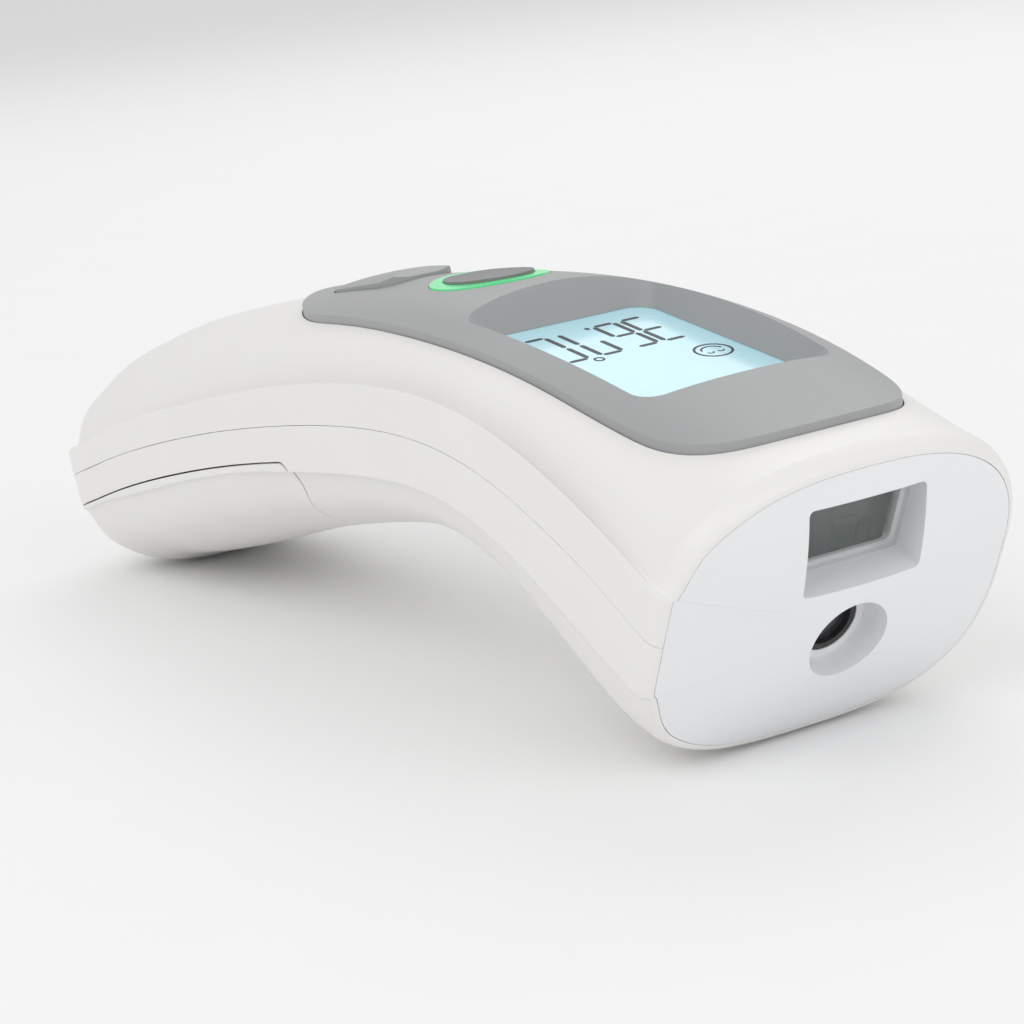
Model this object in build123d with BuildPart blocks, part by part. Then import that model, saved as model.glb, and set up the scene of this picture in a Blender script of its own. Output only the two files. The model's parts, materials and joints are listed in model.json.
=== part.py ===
"""Non-contact infrared thermometer: bent white body, grey top panel with a sunk display, measuring end in front.

The frame has +X out of the measuring end, +Z on the display side and the origin under the middle of the
object, on the surface it lies on. The object is symmetric about the XZ plane. Millimetres and degrees.
"""
import os
from math import cos, pi, radians, sin, tan

from build123d import *

os.makedirs("parts", exist_ok=True)

# ---------------------------------------------------------------- driving dimensions

# Body stations along the bent spine, from the measuring end to the handle's end: x and z of the spine,
# lean of the section from vertical, half width, height above the spine, depth below it.
STATIONS = [
    (69.2, 15.9, -26.5, 21.4, 16.0, 16.9),
    (62.0, 20.2, -22.5, 21.4, 13.5, 18.5),
    (52.4, 24.5, -19.0, 21.1, 12.3, 17.2),
    (42.2, 27.6, -12.8, 20.5, 11.7, 15.6),
    (30.0, 29.4, -4.0, 20.0, 11.5, 14.0),
    (15.6, 29.4, 3.5, 20.0, 11.7, 13.5),
    (1.0, 28.0, 7.0, 20.0, 12.1, 13.9),
    (-26.0, 23.7, 10.5, 18.8, 13.1, 14.7),
    (-54.0, 17.4, 14.8, 18.4, 14.1, 14.98),
    (-63.5, 14.7, 16.3, 18.2, 14.2, 14.6),
]
FULLNESS_TOP = (2.5, 1.7)
FULLNESS_BOTTOM = (3.0, 2.5)
TIP_LENGTH = 14.42
RIM_LENGTH = 2.2
RIM_INSET = 1.1
WALL = 1.8
SEAM = 0.06
CLEAR = 0.15

# Measuring end: domed cap, distance sensor window and infrared aperture. Heights are from the spine.
CAP_REBATE = 1.7
CAP_DOME = 2.9
WINDOW_WIDTH = 13.8
WINDOW_LOW, WINDOW_HIGH = 3.2, 12.0
WINDOW_SUNK = 1.0
APERTURE_HEIGHT = -3.55
APERTURE_RADIUS = 4.5
LENS_RADIUS = 3.25

# Top panel, its sunk display and the two buttons.
PANEL_PROUD = 0.8
PANEL_SUNK = 1.0
PANEL_LEDGE = 1.5
PANEL_REAR, PANEL_FRONT = -22.0, 72.1
DISPLAY_PITCH = 9.75
DISPLAY_ORIGIN = (38.2, 36.2)
DISPLAY_BACK, DISPLAY_FRONT = -9.9, 19.0
DISPLAY_HALF_WIDTH = 10.2
START_X, START_Z, START_LEAN = 14.3, 41.9, 3.5
START_SEMI = (5.9, 4.6)
RING_SEMI = (7.5, 6.2)
MEMORY_X, MEMORY_Z, MEMORY_LEAN = -7.2, 40.3, 8.0
MEMORY_LENGTH, MEMORY_WIDTH = 15.6, 9.4
PRESS_TRAVEL = 0.5

# Inside: circuit board, battery bay with two cells of 10.5 by 44.5.
BOARD_FRONT_X, BOARD_FRONT_Z, BOARD_PITCH = 57.0, 26.3, 5.5
BOARD_THICK = 1.2
CELL_RADIUS, CELL_LENGTH, CELL_SPACING = 5.25, 44.5, 11.4
BAY_X, BAY_Z, BAY_PITCH = -38.0, 14.9, -12.7
COVER_DROP = 4.2
COVER_GAP = 0.2
MEMORY_CROWN = [(-9, -0.35), (-6, 0.12), (-3, 0.5), (0, 0.72), (3, 0.78), (5.6, 0.6), (7.4, 0.1), (9, -1)]
PLUNGER_RADIUS, PLUNGER_PLAY = 1.70, 0.07
HOUSING_SCREWS = [(-20.0, 24.9, 10.0), (-52.0, 17.9, 14.5)]
HOUSING_SCREW_PLACES = [(0, 14.2), (0, -14.2)]
BOARD_SCREW_PLACES = [(-2.6, 14.8), (-2.6, -14.8), (-67.0, 9.4), (-67.0, -9.4)]
SENSOR_SCREW_PLACES = [(12.5, -2.0), (-12.5, -2.0)]


# ---------------------------------------------------------------- planes and outlines

def section_plane(x, z, lean, ahead=0.0):
    """Section of the body: x axis is the width, y axis points up the section, the normal points forward."""
    up = Vector(-sin(radians(lean)), 0, cos(radians(lean)))
    forward = Vector(up.Z, 0, -up.X)
    return Plane(origin=Vector(x, 0, z) + forward * ahead, x_dir=(0, 1, 0), z_dir=forward)


def deck_plane(x, z, pitch, lift=0.0):
    """Plane that faces up and drops forward by pitch: x axis is forward, y axis is the width."""
    normal = Vector(sin(radians(pitch)), 0, cos(radians(pitch)))
    return Plane(origin=Vector(x, 0, z) + normal * lift, x_dir=(normal.Z, 0, -normal.X), z_dir=normal)


def face_plane(ahead=0.0):
    """Plane of the measuring end, moved forward by ahead."""
    return section_plane(*STATIONS[0][:3], RIM_LENGTH + ahead)


def display_plane(lift=0.0):
    return deck_plane(*DISPLAY_ORIGIN, DISPLAY_PITCH, lift)


def board_plane(lift=0.0):
    return deck_plane(BOARD_FRONT_X, BOARD_FRONT_Z, BOARD_PITCH, lift)


def bay_plane(lift=0.0):
    return deck_plane(BAY_X, BAY_Z, BAY_PITCH, lift)


def start_plane(lift=0.0):
    return deck_plane(START_X, START_Z, -START_LEAN, lift)


def memory_plane(lift=0.0):
    return deck_plane(MEMORY_X, MEMORY_Z, -MEMORY_LEAN, lift)


def arch_points(half_width, height, fullness, side):
    """Points of half a superellipse, above (side 1) or below (side -1), from +half_width round to -half_width."""
    points = []
    steps = 12
    for step in range(steps + 1):
        turn = pi * step / steps
        across = half_width * abs(cos(turn)) ** (2 / fullness)
        along = height * sin(turn) ** (2 / fullness) if 0 < step < steps else 0.0
        points.append((across if cos(turn) > 0 else -across, side * along))
    return points


def half_outline(plane, half_width, height, fullness, side, skirt=0.0):
    """Half section of the body, closed half a seam away from the spine or run on past it by skirt."""
    gap = side * SEAM / 2
    points = [(y, gap + v) for y, v in arch_points(half_width, height, fullness, side)]
    with BuildSketch(plane) as outline:
        with BuildLine():
            Spline(*points, tangents=((0, side), (0, -side)))
            if skirt:
                base = gap - side * skirt
                Polyline(points[-1], (-half_width, base), (half_width, base), points[0])
            else:
                Line(points[-1], points[0])
        make_face()
    return outline.sketch.faces()[0]


def station_rows(side):
    """Stations of the upper (side 1) or lower (side -1) half, with how full each section is."""
    first, last = FULLNESS_TOP if side > 0 else FULLNESS_BOTTOM
    rows = []
    for index, (x, z, lean, half_width, rise, drop) in enumerate(STATIONS):
        fullness = first + (last - first) * index / (len(STATIONS) - 1)
        rows.append((x, z, lean, half_width, rise if side > 0 else drop, fullness))
    return rows


def beyond_parting(side):
    """Prism across the body on the far side of the parting surface from the half asked for."""
    curve = []
    for x, z, lean, *_ in STATIONS:
        curve.append((x, z + side * SEAM / 2))
    for index, reach in ((0, 14), (-1, -24)):
        lean = radians(STATIONS[index][2])
        end = (curve[index][0] + reach * cos(lean), curve[index][1] + reach * sin(lean))
        curve.insert(0 if index == 0 else len(curve), end)
    depth = -60 if side > 0 else 100
    with BuildPart() as block:
        with BuildSketch(Plane.XZ):
            with BuildLine():
                Spline(*curve)
                Polyline(curve[-1], (curve[-1][0], depth), (curve[0][0], depth), curve[0])
            make_face()
        extrude(amount=40, both=True)
    return block.part


def half_body(side, grow, open_front=0.0, skirt=0.0):
    """Upper or lower half of the body grown by grow, ending at the parting surface or run on past it by skirt."""
    cut_at_parting = not skirt
    skirt = skirt or 4
    rows = station_rows(side)
    main_sections = []
    for x, z, lean, half_width, height, fullness in rows:
        plane = section_plane(x, z, lean)
        main_sections.append(half_outline(plane, half_width + grow, height + grow, fullness, side, skirt))
    x, z, lean, half_width, height, fullness = rows[0]
    rim_sections = []
    for turn in (0, 22.5, 45, 67.5, 90):
        plane = section_plane(x, z, lean, RIM_LENGTH * sin(radians(turn)))
        inset = RIM_INSET * (1 - cos(radians(turn))) - grow
        rim_sections.append(half_outline(plane, half_width - inset, height - inset, fullness, side, skirt))
    x, z, lean, half_width, height, fullness = rows[-1]
    tip_sections = []
    for turn in (0, 15, 30, 45, 60, 75, 88):
        plane = section_plane(x, z, lean, -(TIP_LENGTH + grow) * sin(radians(turn)))
        shrink = cos(radians(turn))
        reach = (half_width + grow) * shrink
        tip_sections.append(half_outline(plane, reach, (height + grow) * shrink, fullness, side, skirt))
    with BuildPart() as half:
        loft(sections=main_sections)
        loft(sections=tip_sections)
        if open_front:
            extrude(main_sections[0], open_front)
        else:
            loft(sections=rim_sections)
        if cut_at_parting:
            add(beyond_parting(side), mode=Mode.SUBTRACT)
    return half.part


def face_outline(ahead, inset, share=1.0):
    """Whole outline of the measuring end, inset from the body's edge there and shrunk by share."""
    half_width, rise, drop = (value - RIM_INSET - inset for value in STATIONS[0][3:])
    with BuildSketch(face_plane(ahead)) as outline:
        with BuildLine():
            for side, height, ends in ((1, rise, FULLNESS_TOP), (-1, drop, FULLNESS_BOTTOM)):
                points = arch_points(half_width * share, height * share, ends[0], side)
                Spline(*points, tangents=((0, side), (0, -side)))
        make_face()
    return outline.sketch.faces()[0]


def panel_prism(inset=0.0):
    """Upright prism over the top panel's plan outline, inset all round."""
    rear = Bezier((PANEL_REAR, 0), (PANEL_REAR, 3.4), (-19.2, 5.3), (-15, 7.9))
    middle = Spline((-15, 7.9), (0, 11.5), (25, 14.1), (50, 15), (60, 14.65), tangents=((8.5, 5.3), (10, -0.9)))
    front = Bezier((60, 14.65), (68, 13.9), (PANEL_FRONT, 11.5), (PANEL_FRONT, 0))
    points = []
    for curve, steps in ((rear, 2), (middle, 12), (front, 4)):
        for step in range(steps):
            at, along = curve @ (step / steps), curve % (step / steps)
            points.append((at.X + inset * along.Y, at.Y - inset * along.X))
    points.append((PANEL_FRONT - inset, 0))
    points += [(x, -y) for x, y in reversed(points[1:-1])]
    with BuildPart() as prism:
        with BuildSketch(Plane.XY.offset(18)):
            with BuildLine():
                Spline(*points, periodic=True)
            make_face()
        extrude(amount=34)
    return prism.part


def display_cup(grow, low=0.0, high=6.0):
    """Flared well around the display between two heights over the display plane, grown all round."""
    sections = []
    for lift in (low, high):
        share = lift / 6
        rear, front = DISPLAY_BACK - 5.2 * share - grow, DISPLAY_FRONT + 6 * share + grow
        half_width = DISPLAY_HALF_WIDTH + 3.7 * share + grow
        with BuildSketch(display_plane(lift)) as outline:
            with Locations(((rear + front) / 2, 0)):
                RectangleRounded(front - rear, 2 * half_width, 2.5 + grow / 2)
        sections.append(outline.sketch.faces()[0])
    with BuildPart() as cup:
        loft(sections=sections)
    return cup.part


def rounded_box(plane, x_low, x_high, half_width, height, radius):
    """Upright box with rounded corners on a deck plane, centred across the width."""
    with BuildPart() as box:
        with BuildSketch(plane):
            with Locations(((x_low + x_high) / 2, 0)):
                RectangleRounded(x_high - x_low, 2 * half_width, radius)
        extrude(amount=height)
    return box.part


def oval(plane, semi_x, semi_y, height):
    """Oval prism standing on a plane, hanging from it when the height is negative."""
    with BuildPart() as prism:
        with BuildSketch(plane):
            Ellipse(semi_x, semi_y)
        extrude(amount=height)
    return prism.part


def post(plane, places, radius, height):
    """Round posts on a plane, hanging from it when the height is negative."""
    with BuildPart() as columns:
        with BuildSketch(plane):
            with Locations(*places):
                Circle(radius)
        extrude(amount=height)
    return columns.part


def screw_block(plane, height):
    """Pair of blocks that run from the side walls round the housing screws."""
    with BuildPart() as blocks:
        with BuildSketch(plane):
            with Locations((0, 16.6), (0, -16.6)):
                RectangleRounded(4.2, 9, 1.9)
        extrude(amount=height)
    return blocks.part


def under_board():
    """Everything below the circuit board's upper face, to trim what stands on the board."""
    with BuildPart() as block:
        with BuildSketch(board_plane(0.02)):
            Rectangle(240, 60)
        extrude(amount=-40)
    return block.part


def cover_region(grow):
    """Prism across the body over the battery cover's side outline, grown all round."""
    edge = []
    drop = COVER_DROP - grow
    for x, z, lean, *_ in STATIONS[4:]:
        edge.append((x + drop * sin(radians(lean)), z - drop * cos(radians(lean))))
    lean = radians(STATIONS[-1][2])
    edge.append((edge[-1][0] - 20 * cos(lean), edge[-1][1] - 20 * sin(lean)))
    with BuildPart() as region:
        with BuildSketch(Plane.XZ) as outline:
            with BuildLine():
                Spline(*edge)
                Polyline(edge[-1], (edge[-1][0], -8), (edge[0][0], -8), edge[0])
            make_face()
            with BuildLine():
                Polyline((grow - 18.5, -8), (grow + 3, 24.7), (grow + 3, 40), (45, 40), (45, -8), close=True)
            make_face(mode=Mode.SUBTRACT)
            fillet(outline.vertices().sort_by(Axis.X)[-1], 2.5)
        extrude(amount=30, both=True)
    return region.part


def switch_body(plane, drop, bore_depth):
    """Push switch on the board with its bore in line with the button above, its top drop below the plane."""
    with BuildPart() as body:
        with BuildSketch(plane.offset(-drop)):
            RectangleRounded(6, 6, 0.5)
        extrude(amount=-8)
        with BuildSketch(plane.offset(-drop)):
            Circle(PLUNGER_RADIUS + PLUNGER_PLAY)
        extrude(amount=-bore_depth, mode=Mode.SUBTRACT)
        add(under_board(), mode=Mode.SUBTRACT)
    return body.part


def screw(plane, places, shank, length, head_radius, head_height):
    """Screws whose heads hang under the plane and whose shanks rise from it, each with a cross recess."""
    with BuildPart() as screws:
        with BuildSketch(plane):
            with Locations(*places):
                Circle(shank)
        extrude(amount=length)
        with BuildSketch(plane):
            with Locations(*places):
                Circle(head_radius)
        extrude(amount=-head_height)
        with BuildSketch(plane.offset(-head_height)):
            with Locations(*places):
                Rectangle(head_radius * 1.3, head_radius * 0.32)
                Rectangle(head_radius * 0.32, head_radius * 1.3)
        extrude(amount=head_height / 2, mode=Mode.SUBTRACT)
    return screws.part


# ---------------------------------------------------------------- housing

with BuildPart() as upper_posts:
    for x, z, lean in HOUSING_SCREWS:
        add(screw_block(deck_plane(x, z, -lean, 0.3), 12))
    add(post(board_plane(0.05), BOARD_SCREW_PLACES, 1.7, 12))
    add(half_body(1, -PANEL_SUNK - 0.2), mode=Mode.INTERSECT)

with BuildPart() as upper_housing:
    add(half_body(1, 0))
    add(half_body(1, -WALL, open_front=8, skirt=4), mode=Mode.SUBTRACT)
    add(panel_prism(-CLEAR) - half_body(1, -PANEL_SUNK - SEAM / 2), mode=Mode.SUBTRACT)
    add(panel_prism(PANEL_LEDGE), mode=Mode.SUBTRACT)
    add(display_cup(1.2 + CLEAR, -1), mode=Mode.SUBTRACT)
    extrude(face_outline(-CAP_REBATE, SEAM), 8, mode=Mode.SUBTRACT)
    add(upper_posts.part)
    for x, z, lean in HOUSING_SCREWS:
        add(post(deck_plane(x, z, -lean, -0.5), HOUSING_SCREW_PLACES, 0.8, 5.6), mode=Mode.SUBTRACT)
    add(post(board_plane(-0.5), BOARD_SCREW_PLACES, 0.7, 3.1), mode=Mode.SUBTRACT)
upper_housing.part.label = "upper_housing"

with BuildPart() as lower_bosses:
    for x, z, lean in HOUSING_SCREWS:
        add(screw_block(deck_plane(x, z, -lean, -3.6), 3.5))
    add(half_body(-1, -0.4), mode=Mode.INTERSECT)

with BuildPart() as lower_housing:
    add(half_body(-1, 0))
    add(half_body(-1, -WALL, open_front=8, skirt=4), mode=Mode.SUBTRACT)
    add(cover_region(COVER_GAP), mode=Mode.SUBTRACT)
    extrude(face_outline(-CAP_REBATE, SEAM), 8, mode=Mode.SUBTRACT)
    add(lower_bosses.part)
    for x, z, lean in HOUSING_SCREWS:
        add(post(deck_plane(x, z, -lean, -5), HOUSING_SCREW_PLACES, 1.05, 6), mode=Mode.SUBTRACT)
lower_housing.part.label = "lower_housing"

with BuildPart() as battery_cover:
    add(half_body(-1, 0))
    add(half_body(-1, -WALL, skirt=4), mode=Mode.SUBTRACT)
    add(cover_region(0), mode=Mode.INTERSECT)
battery_cover.part.label = "battery_cover"

housing_screws = Part()
for x, z, lean in HOUSING_SCREWS:
    housing_screws += screw(deck_plane(x, z, -lean, -3.65), HOUSING_SCREW_PLACES, 0.78, 8.2, 1.6, 1.1)
housing_screws.label = "housing_screws"

# ---------------------------------------------------------------- top panel

with BuildPart() as top_panel:
    add(half_body(1, PANEL_PROUD))
    add(panel_prism(), mode=Mode.INTERSECT)
    add(half_body(1, -PANEL_SUNK, skirt=4) - display_cup(1.2), mode=Mode.SUBTRACT)
    add(display_cup(0, -0.6), mode=Mode.SUBTRACT)
    add(oval(start_plane(4), RING_SEMI[0] + 0.1, RING_SEMI[1] + 0.1, -12), mode=Mode.SUBTRACT)
    with BuildSketch(memory_plane(4)):
        RectangleRounded(MEMORY_LENGTH + 0.4, MEMORY_WIDTH + 0.4, 3.4)
    extrude(amount=-12, mode=Mode.SUBTRACT)
top_panel.part.label = "top_panel"

# ---------------------------------------------------------------- display

display_window = rounded_box(display_plane(-1.25), -11.1, 20.2, 11.4, 1.2, 3)
display_window.label = "display_window"

with BuildPart() as display_gasket:
    add(rounded_box(display_plane(-1.75), -11.1, 20.2, 11.4, 0.5, 3))
    add(rounded_box(display_plane(-2), -10.2, 19.3, 10.5, 1, 2.5), mode=Mode.SUBTRACT)
display_gasket.part.label = "display_gasket"

lcd_glass = rounded_box(display_plane(-4), -11, 20, 11.4, 2.2, 0.4)
lcd_glass.label = "lcd_glass"

lcd_backlight = rounded_box(display_plane(-6.2), -8.6, 20, 11.4, 2.15, 0.4)
lcd_backlight.label = "lcd_backlight"

with BuildPart() as lcd_frame:
    add(rounded_box(display_plane(-6.4), -12.2, 21.2, 12.6, 4.55, 1))
    add(post(display_plane(-6), [(-10.8, 11.2), (-10.8, -11.2), (12, 11.2), (12, -11.2)], 1.3, -12))
    add(rounded_box(display_plane(-6.25), -11.05, 20.05, 11.45, 8, 0.4), mode=Mode.SUBTRACT)
    add(rounded_box(display_plane(-8), -11.05, 20.05, 9.4, 8, 0.4), mode=Mode.SUBTRACT)
    add(under_board(), mode=Mode.SUBTRACT)
lcd_frame.part.label = "lcd_frame"

with BuildPart() as lcd_connector:
    add(rounded_box(display_plane(-4.05), -10.9, -9.0, 9.2, -8, 0.2))
    add(under_board(), mode=Mode.SUBTRACT)
lcd_connector.part.label = "lcd_connector"

# ---------------------------------------------------------------- buttons

with BuildPart() as light_ring:
    add(oval(start_plane(3), *RING_SEMI, -6.4))
    add(half_body(1, PANEL_PROUD + 0.15), mode=Mode.INTERSECT)
    add(oval(start_plane(-3.4), 8.6, 7.3, 0.6))
    add(rounded_box(start_plane(-3), 7.3, 8.5, 1, -12, 0.3))
    add(rounded_box(start_plane(-3), -8.5, -7.3, 1, -12, 0.3))
    add(oval(start_plane(5), START_SEMI[0] + 0.15, START_SEMI[1] + 0.15, -12), mode=Mode.SUBTRACT)
    with BuildSketch(board_plane(0.9)):
        Rectangle(240, 60)
    extrude(amount=-40, mode=Mode.SUBTRACT)
light_ring.part.label = "light_ring"

ring_leds = Part()
for back in (-34.3, -50.3):
    ring_leds += rounded_box(board_plane(0.02), back - 1, back + 1, 0.8, 0.8, 0.2)
ring_leds.label = "ring_leds"

with BuildPart() as start_button:
    add(oval(start_plane(0.2), *START_SEMI, -4.6))
    add(oval(start_plane(-3.6), 6.8, 5.6, -0.8))
    with Locations(start_plane(0.2 + 60 - 0.25)):
        Sphere(60, mode=Mode.SUBTRACT)
start_button.part.label = "start_button"

with BuildPart() as start_plunger:
    add(post(start_plane(-4.4), [(0, 0)], PLUNGER_RADIUS, -4.8))
    chamfer(start_plunger.edges().sort_by(Axis.Z)[0], 0.2)
start_plunger.part.label = "start_plunger"

start_switch = switch_body(start_plane(), 7.6, 2.4)
start_switch.label = "start_switch"

with BuildPart() as memory_button:
    with BuildSketch(memory_plane(-3)):
        RectangleRounded(MEMORY_LENGTH, MEMORY_WIDTH, 3.2)
    extrude(amount=6)
    memory = memory_plane()
    with BuildSketch(Plane(origin=memory.origin, x_dir=memory.x_dir, z_dir=(0, -1, 0))):
        with BuildLine():
            crown = Spline(*MEMORY_CROWN)
            Polyline(crown @ 1, (9, -4), (-9, -4), crown @ 0)
        make_face()
    extrude(amount=10, both=True, mode=Mode.INTERSECT)
    with BuildSketch(Plane(origin=memory.origin, x_dir=(0, 1, 0), z_dir=memory.x_dir)):
        with BuildLine():
            ThreePointArc((-5, -0.25), (0, 0.76), (5, -0.25))
            Polyline((5, -0.25), (5, -4), (-5, -4), (-5, -0.25))
        make_face()
    extrude(amount=10, both=True, mode=Mode.INTERSECT)
    with BuildSketch(memory_plane(-3.4)):
        RectangleRounded(MEMORY_LENGTH + 1.6, MEMORY_WIDTH + 1.6, 3.6)
    extrude(amount=0.7)
memory_button.part.label = "memory_button"

with BuildPart() as memory_plunger:
    add(post(memory_plane(-3.4), [(0, 0)], PLUNGER_RADIUS, -2.7))
    chamfer(memory_plunger.edges().sort_by(Axis.Z)[0], 0.2)
memory_plunger.part.label = "memory_plunger"

memory_switch = switch_body(memory_plane(), 5, 1.9)
memory_switch.label = "memory_switch"

# ---------------------------------------------------------------- circuit board

with BuildPart() as main_board:
    with BuildSketch(board_plane()) as outline:
        with Locations((-18.5, 0)):
            Rectangle(37, 33)
        with Locations((-54.2, 0)):
            Rectangle(34.4, 22.4)
        fillet(outline.vertices(), 1.2)
        with Locations(*BOARD_SCREW_PLACES):
            Circle(0.9, mode=Mode.SUBTRACT)
    extrude(amount=-BOARD_THICK)
main_board.part.label = "main_board"

board_screws = screw(board_plane(-BOARD_THICK - 0.02), BOARD_SCREW_PLACES, 0.68, 3.4, 1.4, 0.9)
board_screws.label = "board_screws"

controller_chip = rounded_box(board_plane(-BOARD_THICK - 0.02), -36.5, -27.5, 4.5, -1, 0.3)
controller_chip.label = "controller_chip"

buzzer = post(board_plane(-BOARD_THICK - 0.02), [(-52, 0)], 4.5, -2)
buzzer.label = "buzzer"

# ---------------------------------------------------------------- measuring end

window_centre = (0, (WINDOW_LOW + WINDOW_HIGH) / 2)
window_height = WINDOW_HIGH - WINDOW_LOW

with BuildPart() as front_cap:
    extrude(face_outline(-CAP_REBATE + 0.05, 2 * SEAM), CAP_REBATE - 0.05)
    domes = []
    for share in (1, 0.85, 0.7, 0.55, 0.4, 0.25, 0.06):
        domes.append(face_outline(CAP_DOME * (1 - share**2), 2 * SEAM, share))
    loft(sections=domes)
    with BuildSketch(face_plane(-2.6)):
        with Locations(window_centre):
            RectangleRounded(WINDOW_WIDTH + 2, window_height + 1.6, 1)
        with Locations((0, APERTURE_HEIGHT)):
            Circle(5.2)
    extrude(amount=1.5)
    add(post(face_plane(-7.6), SENSOR_SCREW_PLACES, 1.9, 6.5))
    with BuildSketch(face_plane(-WINDOW_SUNK - 0.6)):
        with Locations(window_centre):
            RectangleRounded(WINDOW_WIDTH, window_height, 0.6)
    extrude(amount=10, mode=Mode.SUBTRACT)
    with BuildSketch(face_plane(-8)):
        with Locations(window_centre):
            RectangleRounded(WINDOW_WIDTH - 1.2, window_height - 1.2, 0.6)
        with Locations((0, APERTURE_HEIGHT)):
            Circle(LENS_RADIUS + 0.02)
    extrude(amount=10, mode=Mode.SUBTRACT)
    with BuildSketch(face_plane(-0.4)):
        with Locations((0, APERTURE_HEIGHT)):
            Circle(APERTURE_RADIUS - 0.5)
    extrude(amount=5, taper=-9, mode=Mode.SUBTRACT)
    add(post(face_plane(-8), SENSOR_SCREW_PLACES, 0.8, 5.5), mode=Mode.SUBTRACT)
front_cap.part.label = "front_cap"

with BuildPart() as distance_window:
    with BuildSketch(face_plane(-WINDOW_SUNK - 0.6)):
        with Locations(window_centre):
            RectangleRounded(WINDOW_WIDTH - 0.06, window_height - 0.06, 0.57)
    extrude(amount=0.6)
distance_window.part.label = "distance_window"

with BuildPart() as distance_sensor:
    with BuildSketch(face_plane(-7.58)):
        with Locations((0, 7.6)):
            RectangleRounded(11, 7.2, 0.3)
    extrude(amount=5.8)
    with BuildSketch(face_plane(-1.78)):
        with Locations((0.35, 6.2), (2.9, 5.75)):
            Circle(0.9)
    extrude(amount=-0.8, mode=Mode.SUBTRACT)
distance_sensor.part.label = "distance_sensor"

aperture = (0, APERTURE_HEIGHT)
with BuildPart() as lens_ring:
    add(post(face_plane(-3.5), [aperture], LENS_RADIUS, 3))
    add(post(face_plane(-4), [aperture], 2.6, 4), mode=Mode.SUBTRACT)
lens_ring.part.label = "lens_ring"

ir_filter = post(face_plane(-1.6), [aperture], 2.58, 0.5)
ir_filter.label = "ir_filter"

sensor_pins = [(1.2, APERTURE_HEIGHT), (-1.2, APERTURE_HEIGHT), (0, APERTURE_HEIGHT + 1.2)]
with BuildPart() as ir_sensor:
    add(post(face_plane(-6.8), [aperture], 2.55, 4.6))
    add(post(face_plane(-6.8), [aperture], 3, 0.5))
    add(post(face_plane(-6.8), sensor_pins, 0.25, -2.4))
    add(post(face_plane(-2.2), [aperture], 1.4, -0.3), mode=Mode.SUBTRACT)
ir_sensor.part.label = "ir_sensor"

with BuildPart() as sensor_holder:
    add(post(face_plane(-7.58), [aperture], 4.8, 4.9))
    add(post(face_plane(-8), [aperture], 3.35, 8), mode=Mode.SUBTRACT)
sensor_holder.part.label = "sensor_holder"

with BuildPart() as sensor_board:
    extrude(face_outline(-8.6, 0, 0.75), 1)
    add(post(face_plane(-9), SENSOR_SCREW_PLACES, 0.95, 3), mode=Mode.SUBTRACT)
    add(post(face_plane(-9), sensor_pins, 0.32, 3), mode=Mode.SUBTRACT)
sensor_board.part.label = "sensor_board"

sensor_screws = screw(face_plane(-8.62), SENSOR_SCREW_PLACES, 0.78, 5.6, 1.6, 1)
sensor_screws.label = "sensor_screws"

cable_connector = rounded_box(board_plane(-BOARD_THICK - 0.02), -6.5, -3.5, 5, -1.6, 0.3)
cable_connector.label = "cable_connector"

with BuildPart() as sensor_cable:
    start = face_plane(-8.65).from_local_coords((0, 3, 0))
    away = face_plane(-12).from_local_coords((0, 3, 0))
    end = board_plane(-BOARD_THICK - 0.8).from_local_coords((-3.4, 0, 0))
    before = board_plane(-BOARD_THICK - 0.8).from_local_coords((1.5, 0, 0))
    with BuildLine() as route:
        FilletPolyline(start, away, before, end, radius=1.5)
    with BuildSketch(Plane(origin=route.line @ 0, x_dir=(0, 1, 0), z_dir=route.line % 0)):
        Rectangle(8, 0.3)
    sweep()
sensor_cable.part.label = "sensor_cable"

# ---------------------------------------------------------------- battery bay

cell_sides = (CELL_SPACING / 2, -CELL_SPACING / 2)
BAY_HALF = 23.5
BRIDGE_HALF_WIDTH = 9.8

with BuildPart() as battery_tray:
    with BuildSketch(bay_plane(6.8)):
        RectangleRounded(2 * BAY_HALF + 2, 23.8, 1.2)
    extrude(amount=-9.8)
    for side in cell_sides:
        with BuildSketch(bay_plane(-4)):
            with Locations((0, side)):
                Rectangle(2 * BAY_HALF, 2 * CELL_RADIUS + 0.3)
        extrude(amount=4, mode=Mode.SUBTRACT)
        end = bay_plane().from_local_coords((-BAY_HALF, side, 0))
        with BuildSketch(Plane(origin=end, x_dir=(0, 1, 0), z_dir=bay_plane().x_dir)):
            Circle(CELL_RADIUS + 0.15)
        extrude(amount=2 * BAY_HALF, mode=Mode.SUBTRACT)
    with BuildSketch(bay_plane(-4)):
        with Locations((0.25 - BAY_HALF, 0)):
            Rectangle(0.5, 2 * BRIDGE_HALF_WIDTH + 0.4)
    extrude(amount=7.4, mode=Mode.SUBTRACT)
battery_tray.part.label = "battery_tray"


def cell(side, forward):
    """Battery cell with its button end pointing forward (1) or back (-1)."""
    start = bay_plane().from_local_coords((-forward * 21.5, side, 0))
    with BuildPart() as battery:
        with BuildSketch(Plane(origin=start, x_dir=(0, 1, 0), z_dir=bay_plane().x_dir * forward)):
            Circle(CELL_RADIUS)
        extrude(amount=CELL_LENGTH - 1)
        chamfer(battery.edges(), 0.35)
        with BuildSketch(Plane(origin=start, x_dir=(0, 1, 0), z_dir=bay_plane().x_dir * forward)):
            Circle(1.9)
        extrude(amount=CELL_LENGTH)
    return battery.part


battery_1 = cell(cell_sides[0], 1)
battery_1.label = "battery_1"
battery_2 = cell(cell_sides[1], -1)
battery_2.label = "battery_2"

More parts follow.
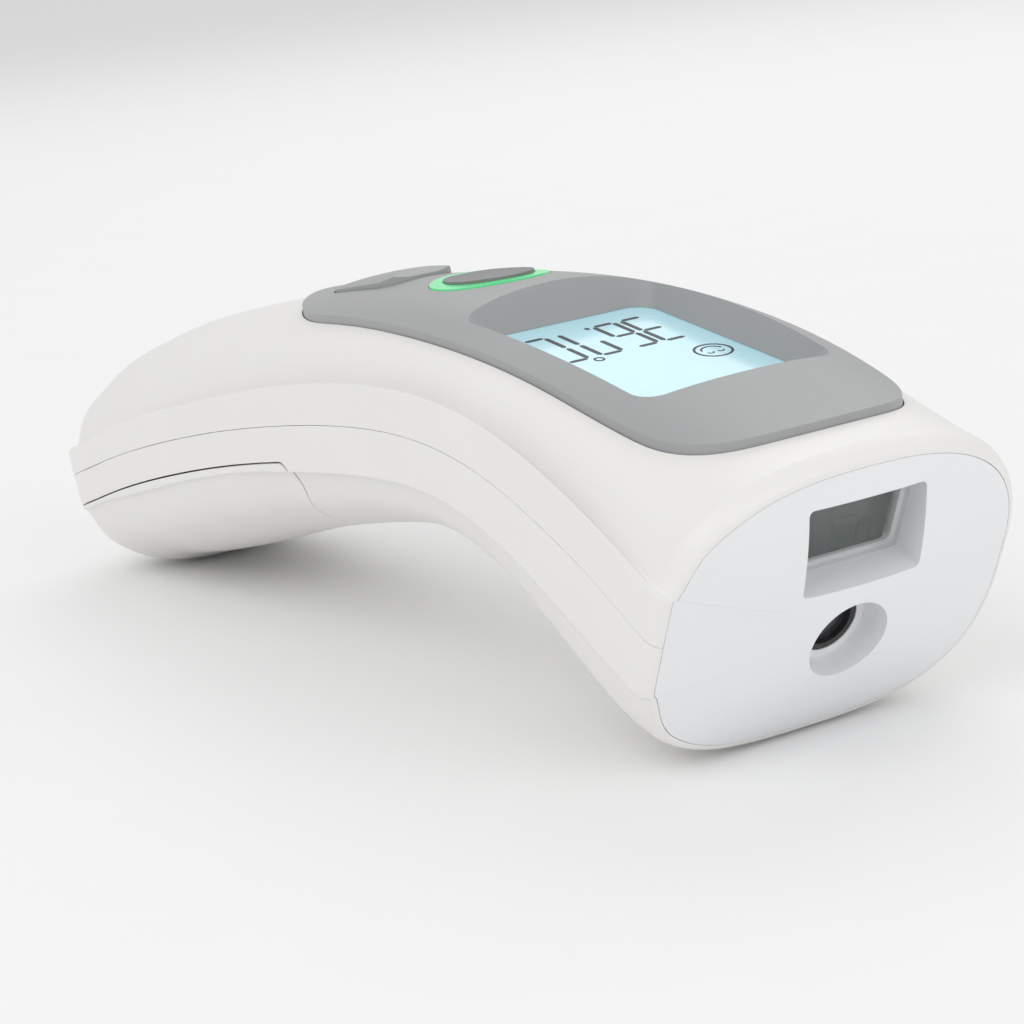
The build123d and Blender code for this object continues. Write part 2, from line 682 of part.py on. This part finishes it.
battery_springs = Part()
for side, forward in zip(cell_sides, (1, -1)):
    base = bay_plane().from_local_coords((-forward * (BAY_HALF - 0.65), side, 0))
    with BuildPart() as spring:
        with BuildLine() as coil:
            Helix(0.42, 0.95, 2.6, center=base, direction=bay_plane().x_dir * forward)
        with BuildSketch(Plane(origin=coil.line @ 0, z_dir=coil.line % 0)):
            Circle(0.17)
        sweep(is_frenet=True)
    battery_springs += spring.part
battery_springs.label = "battery_springs"


def contact_plate(place, low, high, half_width, top):
    """Flat spring-steel plate standing at place along the bay, from low to high across it."""
    with BuildPart() as plate:
        with BuildSketch(bay_plane(-half_width)):
            with Locations((place, (low + high) / 2)):
                Rectangle(0.3, high - low)
        extrude(amount=half_width + top)
    return plate.part


battery_bridge = contact_plate(-BAY_HALF + 0.17, -BRIDGE_HALF_WIDTH, BRIDGE_HALF_WIDTH, 3.2, 3.2)
battery_bridge.label = "battery_bridge"

battery_terminals = Part()
for side in cell_sides:
    battery_terminals += contact_plate(BAY_HALF - 0.17, side - 3.5, side + 3.5, 3.2, 3.2)
battery_terminals.label = "battery_terminals"

LEAD_RADIUS = 0.55
leads = []
for side in cell_sides:
    low = bay_plane(7.5).from_local_coords((BAY_HALF - 0.3, side, 0))
    bend = bay_plane(9.4).from_local_coords((BAY_HALF - 0.3, side, 0))
    high = board_plane(-BOARD_THICK - 0.05).from_local_coords((-67.5, side, 0))
    turn = board_plane(-BOARD_THICK - 3.2).from_local_coords((-67.5, side, 0))
    with BuildPart() as lead:
        with BuildLine() as route:
            FilletPolyline(low, bend, turn, high, radius=1.2)
        with BuildSketch(Plane(origin=route.line @ 0, z_dir=route.line % 0)):
            Circle(LEAD_RADIUS)
        sweep()
    leads.append(lead.part)
battery_lead_positive, battery_lead_negative = leads
battery_lead_positive.label = "battery_lead_positive"
battery_lead_negative.label = "battery_lead_negative"

# ---------------------------------------------------------------- write the pieces

built = [
    upper_housing, lower_housing, battery_cover, top_panel, display_gasket, lcd_frame, lcd_connector, light_ring,
    start_button, start_plunger, memory_button, memory_plunger, main_board, front_cap, distance_window,
    distance_sensor, lens_ring, ir_sensor, sensor_holder, sensor_board, sensor_cable, battery_tray,
]
pieces = [builder.part for builder in built]
pieces += [
    housing_screws, display_window, lcd_glass, lcd_backlight, ring_leds, start_switch, memory_switch, board_screws,
    controller_chip, buzzer, ir_filter, sensor_screws, cable_connector, battery_1, battery_2, battery_springs,
    battery_bridge, battery_terminals, battery_lead_positive, battery_lead_negative,
]
for piece in pieces:
    export_step(piece, f"parts/{piece.label}.step")
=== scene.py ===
import json
import math

import bmesh
import bpy
from mathutils import Matrix, Vector


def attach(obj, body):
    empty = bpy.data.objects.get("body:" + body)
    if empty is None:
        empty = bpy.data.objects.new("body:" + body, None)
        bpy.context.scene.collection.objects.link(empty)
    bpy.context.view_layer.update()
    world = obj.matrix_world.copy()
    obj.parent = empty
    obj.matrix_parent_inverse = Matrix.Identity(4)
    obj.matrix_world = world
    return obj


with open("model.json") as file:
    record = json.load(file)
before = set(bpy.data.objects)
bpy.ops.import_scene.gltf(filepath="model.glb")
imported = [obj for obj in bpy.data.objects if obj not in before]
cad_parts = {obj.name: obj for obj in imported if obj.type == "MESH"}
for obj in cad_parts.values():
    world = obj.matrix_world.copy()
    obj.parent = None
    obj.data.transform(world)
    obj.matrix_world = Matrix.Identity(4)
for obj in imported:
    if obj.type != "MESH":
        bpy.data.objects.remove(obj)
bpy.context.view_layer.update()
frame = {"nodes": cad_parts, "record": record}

MM = 0.001


# ---------------------------------------------------------------- planes shared with the CAD

def axes(origin, x, y, z):
    """Matrix of a local frame, from its origin in millimetres and its three directions."""
    return Matrix((
        (x[0], y[0], z[0], origin[0] * MM),
        (x[1], y[1], z[1], origin[1] * MM),
        (x[2], y[2], z[2], origin[2] * MM),
        (0, 0, 0, 1),
    ))


def deck(x, z, pitch):
    """Frame on a surface that faces up and is pitched forward: x to the head, y across, z out of it."""
    angle = math.radians(pitch)
    return axes(
        (x, 0, z),
        (math.cos(angle), 0, -math.sin(angle)),
        (0, 1, 0),
        (math.sin(angle), 0, math.cos(angle)),
    )


def lifted(matrix, height):
    """The same frame, moved out of its surface by height in millimetres."""
    return matrix @ Matrix.Translation((0, 0, height * MM))


DISPLAY = deck(38.2, 36.2, 9.75)
BOARD = deck(57.0, 26.3, 5.5)
BAY = deck(-38.0, 14.9, -12.7)

# The measuring face looks forward and down: x across it, y up it, z out of it.
FACE_DROP = math.radians(26.5)
FACE = axes(
    (71.17, 0, 14.92),
    (0, 1, 0),
    (math.sin(FACE_DROP), 0, math.cos(FACE_DROP)),
    (math.cos(FACE_DROP), 0, -math.sin(FACE_DROP)),
)


# ---------------------------------------------------------------- materials

SLOW_SCALE = 45
SLOW_DETAIL = 4
FINE_DETAIL = 5
RELIEF_DEPTH = 0.00006
COAT_ROUGHNESS = 0.12
SCATTER_DEPTH = (0.002, 0.0016, 0.0014)


def noise(tree, vector, scale, detail):
    """Noise texture that reads a vector socket; gives its factor socket."""
    node = tree.nodes.new("ShaderNodeTexNoise")
    node.inputs["Scale"].default_value = scale
    node.inputs["Detail"].default_value = detail
    tree.links.new(vector, node.inputs["Vector"])
    return node.outputs["Fac"]


def varied_colour(tree, factor, color, tint):
    """Colour that drifts by tint to either side of color; gives its colour socket."""
    ramp = tree.nodes.new("ShaderNodeValToRGB")
    dark, light = ramp.color_ramp.elements
    dark.position = 0.3
    dark.color = (*(c * (1 - tint) for c in color), 1)
    light.position = 0.7
    light.color = (*(min(1, c * (1 + tint)) for c in color), 1)
    tree.links.new(factor, ramp.inputs["Fac"])
    return ramp.outputs["Color"]


def varied_roughness(tree, factor, rough):
    """Roughness that follows the grain; gives its value socket."""
    vary = tree.nodes.new("ShaderNodeMapRange")
    vary.inputs["To Min"].default_value = max(0.02, rough - 0.06)
    vary.inputs["To Max"].default_value = min(1.0, rough + 0.08)
    tree.links.new(factor, vary.inputs["Value"])
    return vary.outputs["Result"]


def relief(tree, factor, strength):
    """Bump from the grain; gives its normal socket."""
    bump = tree.nodes.new("ShaderNodeBump")
    bump.inputs["Strength"].default_value = strength
    bump.inputs["Distance"].default_value = RELIEF_DEPTH
    tree.links.new(factor, bump.inputs["Height"])
    return bump.outputs["Normal"]


def let_through(tree, shader, clear):
    """Mixes the shader with clear parts of plain transparency."""
    through = tree.nodes.new("ShaderNodeBsdfTransparent")
    mix = tree.nodes.new("ShaderNodeMixShader")
    mix.inputs["Fac"].default_value = 1 - clear
    tree.links.new(through.outputs["BSDF"], mix.inputs[1])
    tree.links.new(shader.outputs["BSDF"], mix.inputs[2])
    tree.links.new(mix.outputs["Shader"], tree.nodes["Material Output"].inputs["Surface"])


def material(name, color, rough, bump, grain, tint, metallic=0.0, coat=0.0, glow=0.0, clear=0.0,
             subsurface=0.0, streak=(1, 1, 1)):
    """Procedural finish: a slow tint in the colour and a fine grain, drawn out by streak, in the rest."""
    m = bpy.data.materials.new(name)
    m.use_nodes = True
    tree = m.node_tree
    links = tree.links
    shader = tree.nodes["Principled BSDF"]
    shader.inputs["Metallic"].default_value = metallic
    shader.inputs["Coat Weight"].default_value = coat
    shader.inputs["Coat Roughness"].default_value = COAT_ROUGHNESS
    shader.inputs["Subsurface Weight"].default_value = subsurface
    shader.inputs["Subsurface Radius"].default_value = SCATTER_DEPTH
    coords = tree.nodes.new("ShaderNodeTexCoord")
    drawn = tree.nodes.new("ShaderNodeMapping")
    drawn.inputs["Scale"].default_value = streak
    links.new(coords.outputs["Object"], drawn.inputs["Vector"])
    slow = noise(tree, coords.outputs["Object"], SLOW_SCALE, SLOW_DETAIL)
    fine = noise(tree, drawn.outputs["Vector"], grain, FINE_DETAIL)
    colour = varied_colour(tree, slow, color, tint)
    links.new(colour, shader.inputs["Base Color"])
    links.new(varied_roughness(tree, fine, rough), shader.inputs["Roughness"])
    links.new(relief(tree, fine, bump), shader.inputs["Normal"])
    if glow:
        links.new(colour, shader.inputs["Emission Color"])
        shader.inputs["Emission Strength"].default_value = glow
    if clear:
        let_through(tree, shader, clear)
    return m


# Each finish: colour, roughness, bump, grain, tint, and what else sets it apart.
LOOKS = {
    "shell_white": ((0.85, 0.84, 0.82), 0.38, 0.12, 1600, 0.012, {"subsurface": 0.08}),
    "cap_white": ((0.84, 0.85, 0.865), 0.42, 0.15, 1700, 0.012, {"subsurface": 0.08}),
    "panel_grey": ((0.36, 0.365, 0.37), 0.42, 0.25, 2200, 0.03, {}),
    "lcd_face": ((0.40, 0.66, 0.74), 0.22, 0.03, 700, 0.03, {"coat": 0.5, "glow": 0.25}),
    "black_foam": ((0.03, 0.03, 0.03), 0.9, 0.6, 1500, 0.2, {}),
    "lcd_glass": ((0.35, 0.5, 0.58), 0.12, 0.02, 500, 0.03, {"coat": 0.6}),
    "diffuser": ((0.75, 0.82, 0.86), 0.3, 0.1, 900, 0.03, {"subsurface": 0.3}),
    "frame_white": ((0.74, 0.74, 0.73), 0.55, 0.2, 1300, 0.03, {}),
    "zebra_rubber": ((0.45, 0.28, 0.27), 0.7, 0.3, 1300, 0.1, {"streak": (1, 6, 1)}),
    "ring_green": ((0.05, 0.45, 0.16), 0.25, 0.05, 900, 0.12, {"coat": 0.4, "glow": 0.75}),
    "led": ((0.8, 0.85, 0.6), 0.3, 0.1, 900, 0.05, {"glow": 0.6}),
    "button_grey": ((0.22, 0.22, 0.22), 0.5, 0.6, 1100, 0.14, {}),
    "plunger_black": ((0.04, 0.04, 0.04), 0.5, 0.2, 1200, 0.1, {}),
    "switch_black": ((0.035, 0.035, 0.04), 0.5, 0.2, 1200, 0.1, {}),
    "board_green": ((0.03, 0.2, 0.08), 0.4, 0.25, 500, 0.15, {"coat": 0.3}),
    "chip_black": ((0.025, 0.025, 0.025), 0.6, 0.4, 1400, 0.1, {}),
    "buzzer_black": ((0.03, 0.03, 0.03), 0.5, 0.3, 1200, 0.1, {}),
    "window_clear": ((0.42, 0.47, 0.44), 0.08, 0.02, 400, 0.03, {"coat": 0.6, "clear": 0.9}),
    "sensor_black": ((0.035, 0.036, 0.04), 0.18, 0.05, 700, 0.1, {"coat": 0.5}),
    "ring_black": ((0.012, 0.012, 0.012), 0.22, 0.05, 900, 0.1, {"coat": 0.4}),
    "filter_dark": ((0.03, 0.03, 0.035), 0.08, 0.02, 500, 0.1, {"coat": 0.6}),
    "can_metal": ((0.6, 0.57, 0.52), 0.3, 0.15, 900, 0.05, {"metallic": 1.0, "streak": (1, 1, 8)}),
    "holder_black": ((0.04, 0.04, 0.04), 0.55, 0.3, 1200, 0.1, {}),
    "screw_steel": ((0.52, 0.52, 0.53), 0.32, 0.2, 1300, 0.05, {"metallic": 1.0}),
    "flex_amber": ((0.5, 0.22, 0.04), 0.3, 0.1, 900, 0.1, {"coat": 0.4, "streak": (1, 9, 1)}),
    "connector_white": ((0.8, 0.77, 0.7), 0.5, 0.2, 1200, 0.04, {}),
    "tray_white": ((0.7, 0.7, 0.68), 0.5, 0.25, 1300, 0.03, {}),
    "cell_can": ((0.05, 0.16, 0.3), 0.3, 0.08, 900, 0.1, {"metallic": 0.5, "coat": 0.3}),
    "spring_steel": ((0.65, 0.64, 0.6), 0.28, 0.15, 1100, 0.06, {"metallic": 1.0}),
    "lead_red": ((0.5, 0.02, 0.02), 0.4, 0.15, 1200, 0.08, {}),
    "lead_black": ((0.015, 0.015, 0.015), 0.4, 0.15, 1200, 0.08, {}),
    "lcd_ink": ((0.008, 0.012, 0.016), 0.4, 0.05, 900, 0.2, {}),
    "mark_dark": ((0.02, 0.03, 0.03), 0.12, 0.05, 900, 0.1, {"coat": 0.6}),
    "cell_bare": ((0.62, 0.62, 0.6), 0.3, 0.1, 900, 0.04, {"metallic": 1.0}),
    "floor_paper": ((0.93, 0.93, 0.93), 0.85, 0.05, 300, 0.004, {}),
}
FINISHES = {name: material(name, *look, **more) for name, (*look, more) in LOOKS.items()}


def paint_frame():
    """Gives each CAD node the finish that its record names."""
    for part in frame["record"]["subparts"]:
        materials = frame["nodes"][part["node"]].data.materials
        materials.clear()
        materials.append(FINISHES[part["material_slot"]])


paint_frame()


# ---------------------------------------------------------------- mesh pieces

def add_object(name, mesh, finish, smooth=False):
    """Turns a bmesh into an object of the scene."""
    data = bpy.data.meshes.new(name)
    mesh.to_mesh(data)
    mesh.free()
    for polygon in data.polygons:
        polygon.use_smooth = smooth
    data.materials.append(FINISHES[finish])
    thing = bpy.data.objects.new(name, data)
    bpy.context.scene.collection.objects.link(thing)
    return thing


def piece(name, mesh, matrix, finish, smooth=False):
    """Adds a bmesh as a finished piece that rides on the housing."""
    thing = add_object(name, mesh, finish, smooth)
    thing.matrix_world = matrix
    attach(thing, "housing")


def add_bar(mesh, points, thick):
    """Flat polygon from points in millimetres, raised by thick."""
    low = [mesh.verts.new((x * MM, y * MM, 0)) for x, y in points]
    high = [mesh.verts.new((x * MM, y * MM, thick * MM)) for x, y in points]
    mesh.faces.new(high)
    mesh.faces.new(reversed(low))
    count = len(points)
    for i in range(count):
        j = (i + 1) % count
        mesh.faces.new((low[i], low[j], high[j], high[i]))


def add_ring(mesh, centre, outer, inner, thick, start=0.0, sweep=360.0, steps=48):
    """Flat ring, or an arc of one with closed ends, around centre in millimetres."""
    closed = sweep >= 360
    count = steps if closed else steps + 1
    loops = []
    for i in range(count):
        turn = math.radians(start + sweep * i / steps)
        loop = []
        for radius, lift in ((outer, 0), (outer, thick), (inner, thick), (inner, 0)):
            x = centre[0] + radius * math.cos(turn)
            y = centre[1] + radius * math.sin(turn)
            loop.append(mesh.verts.new((x * MM, y * MM, lift * MM)))
        loops.append(loop)
    for i in range(count if closed else count - 1):
        a, b = loops[i], loops[(i + 1) % count]
        for k in range(4):
            n = (k + 1) % 4
            mesh.faces.new((a[k], a[n], b[n], b[k]))
    if not closed:
        mesh.faces.new(reversed(loops[0]))
        mesh.faces.new(loops[-1])


def add_panel(mesh, centre, size, radius, thick, corner_steps=5):
    """Flat rounded rectangle raised by thick, in millimetres."""
    points = []
    for sign_x, sign_y, start in ((1, 1, 0), (-1, 1, 90), (-1, -1, 180), (1, -1, 270)):
        for step in range(corner_steps + 1):
            turn = math.radians(start + 90 * step / corner_steps)
            points.append((
                centre[0] + sign_x * (size[0] / 2 - radius) + radius * math.cos(turn),
                centre[1] + sign_y * (size[1] / 2 - radius) + radius * math.sin(turn),
            ))
    add_bar(mesh, points, thick)


def add_tube(mesh, start, end, side, radius, steps=64):
    """Open band round a cell that lies along x at a distance to one side, in millimetres."""
    loops = []
    for step in range(steps):
        turn = 2 * math.pi * step / steps
        y = side + radius * math.cos(turn)
        z = radius * math.sin(turn)
        loops.append([mesh.verts.new((x * MM, y * MM, z * MM)) for x in (start, end)])
    for step in range(steps):
        a, b = loops[step], loops[(step + 1) % steps]
        mesh.faces.new((a[0], b[0], b[1], a[1]))


# ---------------------------------------------------------------- what the display shows

INK = 0.02
INK_DEPTH = 0.045
FIGURE_BOTTOM = -6.6
FIGURE_TOP = 1.6
FIGURE_MIDDLE = (FIGURE_BOTTOM + FIGURE_TOP) / 2
FIGURE_WIDTH = 2.5
STROKE = 0.56
GAP = 0.12
SEGMENTS = {"3": "abgcd", "6": "afgedc", "7": "abcf", "C": "afed"}
READING = (("3", 7.35), ("6", 3.9), ("7", -0.5), ("C", -4.65))
POINT = ((-6.8, 0.85), (-6.8, 0.35), (-6.2, 0.35), (-6.2, 0.85))
DEGREE_PLACE = (2.5, -4.0)
SMILE_PLACE = (7.1, 6.8)
EYE_SPREAD = 0.62


def add_figure(mesh, shown, left):
    """Seven-segment figure whose top points to the head and which reads from +Y to -Y."""
    right = left - FIGURE_WIDTH
    half = STROKE / 2

    def level(u):
        add_bar(mesh, [
            (u - half, left - GAP - half),
            (u, left - GAP),
            (u + half, left - GAP - half),
            (u + half, right + GAP + half),
            (u, right + GAP),
            (u - half, right + GAP + half),
        ], INK)

    def upright(low, high, y):
        add_bar(mesh, [
            (low + GAP, y),
            (low + GAP + half, y - half),
            (high - GAP - half, y - half),
            (high - GAP, y),
            (high - GAP - half, y + half),
            (low + GAP + half, y + half),
        ], INK)

    levels = {"a": FIGURE_TOP, "g": FIGURE_MIDDLE, "d": FIGURE_BOTTOM}
    for name in SEGMENTS[shown]:
        if name in levels:
            level(levels[name])
        elif name in "fb":
            upright(FIGURE_MIDDLE, FIGURE_TOP, left if name == "f" else right)
        else:
            upright(FIGURE_BOTTOM, FIGURE_MIDDLE, left if name == "e" else right)


def display_figures():
    """The reading, its decimal point and the degree sign."""
    mesh = bmesh.new()
    for shown, left in READING:
        add_figure(mesh, shown, left)
    add_bar(mesh, POINT, INK)
    add_ring(mesh, DEGREE_PLACE, 0.62, 0.36, INK)
    piece("display_figures", mesh, lifted(DISPLAY, -INK_DEPTH), "lcd_ink")


def display_smile():
    """The smiling sign in the display's corner: its outline, its mouth and two shut eyes."""
    mesh = bmesh.new()
    forward, side = SMILE_PLACE
    add_ring(mesh, SMILE_PLACE, 2.1, 1.82, INK)
    add_ring(mesh, SMILE_PLACE, 1.35, 1.12, INK, start=105, sweep=150)
    for spread in (EYE_SPREAD, -EYE_SPREAD):
        add_ring(mesh, (forward + 0.4, side + spread), 0.42, 0.24, INK, start=-90, sweep=180)
    piece("display_smile", mesh, lifted(DISPLAY, -INK_DEPTH), "lcd_ink")


display_figures()
display_smile()


# ---------------------------------------------------------------- marks on the sensors and inside

PATCH_DEPTH = 1.76
LENS_DEPTH = 1.09
BOARD_DEPTH = 1.85
CHIP_HEIGHT = 0.6
CELL_SIDE = 5.7
BAND_RADIUS = 5.275
BAND_PLACE = 20.564
BAND_HALF = 0.9

# Small components under the board: distance behind its front, distance across, length and width.
CHIPS = (
    (-10, 9, 1.6, 0.8),
    (-10, -9, 1.6, 0.8),
    (-14, 12, 1.0, 0.5),
    (-14, -12, 1.0, 0.5),
    (-42, 6, 1.6, 0.8),
    (-45, -7, 2.9, 1.6),
    (-56, 6, 1.6, 0.8),
    (-60, -6, 1.0, 0.5),
    (-64, 3, 1.6, 0.8),
)


def sensor_patches():
    """The distance sensor's sender and receiver, on its front."""
    mesh = bmesh.new()
    add_panel(mesh, (0.35, 6.2), (2.8, 3.2), 0.35, 0.03)
    add_panel(mesh, (2.9, 5.75), (1.6, 2.5), 0.35, 0.03)
    piece("sensor_patches", mesh, lifted(FACE, -PATCH_DEPTH), "mark_dark")


def lens_coating_ring():
    """The dark edge of the coating on the infrared lens."""
    mesh = bmesh.new()
    add_ring(mesh, (0, -3.55), 1.75, 1.6, INK)
    piece("lens_coating_ring", mesh, lifted(FACE, -LENS_DEPTH), "sensor_black")


def board_components():
    """The small components on the main board."""
    mesh = bmesh.new()
    for back, side, length, width in CHIPS:
        add_panel(mesh, (back, side), (length, width), 0.08, CHIP_HEIGHT)
    piece("board_components", mesh, lifted(BOARD, -BOARD_DEPTH), "connector_white")


def battery_end_bands():
    """The bare metal at both ends of each cell, past its sleeve."""
    mesh = bmesh.new()
    for side in (CELL_SIDE, -CELL_SIDE):
        for place in (-BAND_PLACE, BAND_PLACE):
            add_tube(mesh, place - BAND_HALF, place + BAND_HALF, side, BAND_RADIUS)
    piece("battery_end_bands", mesh, BAY, "cell_bare", smooth=True)


sensor_patches()
lens_coating_ring()
board_components()
battery_end_bands()


# ---------------------------------------------------------------- stage, light and camera

FLOOR_SIZE = 3
FLOOR_LEVEL = -0.00005
LIGHT_TARGET = Vector((0, 0, 0.02))

# Each lamp: place, size and power.
LAMPS = {
    "key": ((0.25, -0.75, 0.85), (0.9, 0.7), 2.6),
    "front": ((0.95, 0.15, 0.45), (0.7, 0.6), 1.3),
    "back": ((-0.5, 0.55, 0.7), (0.9, 0.6), 1.6),
}
SKY_STRENGTH = 0.72

# The camera that sees the object as the photograph does: place in millimetres, and directions.
CAMERA_PLACE = (289.65, -163.55, 88.39)
CAMERA_RIGHT = (0.5286, 0.8405, -0.1193)
CAMERA_UP = (-0.1272, 0.2173, 0.9678)
CAMERA_BACK = (0.8393, -0.4964, 0.2217)
CAMERA_SENSOR = 36
CAMERA_LENS = 104.92
CAMERA_NEAR = 0.01


def add_floor():
    mesh = bmesh.new()
    bmesh.ops.create_grid(mesh, x_segments=2, y_segments=2, size=FLOOR_SIZE)
    floor = add_object("floor", mesh, "floor_paper")
    floor.location.z = FLOOR_LEVEL


def add_lamp(name, place, size, power):
    data = bpy.data.lights.new(name, "AREA")
    data.shape = "RECTANGLE"
    data.size, data.size_y = size
    data.energy = power
    lamp = bpy.data.objects.new(name, data)
    lamp.location = place
    lamp.rotation_euler = (LIGHT_TARGET - Vector(place)).to_track_quat("-Z", "Y").to_euler()
    bpy.context.scene.collection.objects.link(lamp)


def add_sky():
    world = bpy.data.worlds.new("studio")
    world.use_nodes = True
    background = world.node_tree.nodes["Background"]
    background.inputs["Color"].default_value = (1, 1, 1, 1)
    background.inputs["Strength"].default_value = SKY_STRENGTH
    bpy.context.scene.world = world
    bpy.context.scene.view_settings.view_transform = "Standard"


def add_camera():
    data = bpy.data.cameras.new("camera")
    data.sensor_width = CAMERA_SENSOR
    data.lens = CAMERA_LENS
    data.clip_start = CAMERA_NEAR
    camera = bpy.data.objects.new("camera", data)
    camera.matrix_world = axes(CAMERA_PLACE, CAMERA_RIGHT, CAMERA_UP, CAMERA_BACK)
    bpy.context.scene.collection.objects.link(camera)
    bpy.context.scene.camera = camera


add_floor()
for name, lamp in LAMPS.items():
    add_lamp(name, *lamp)
add_sky()
add_camera()
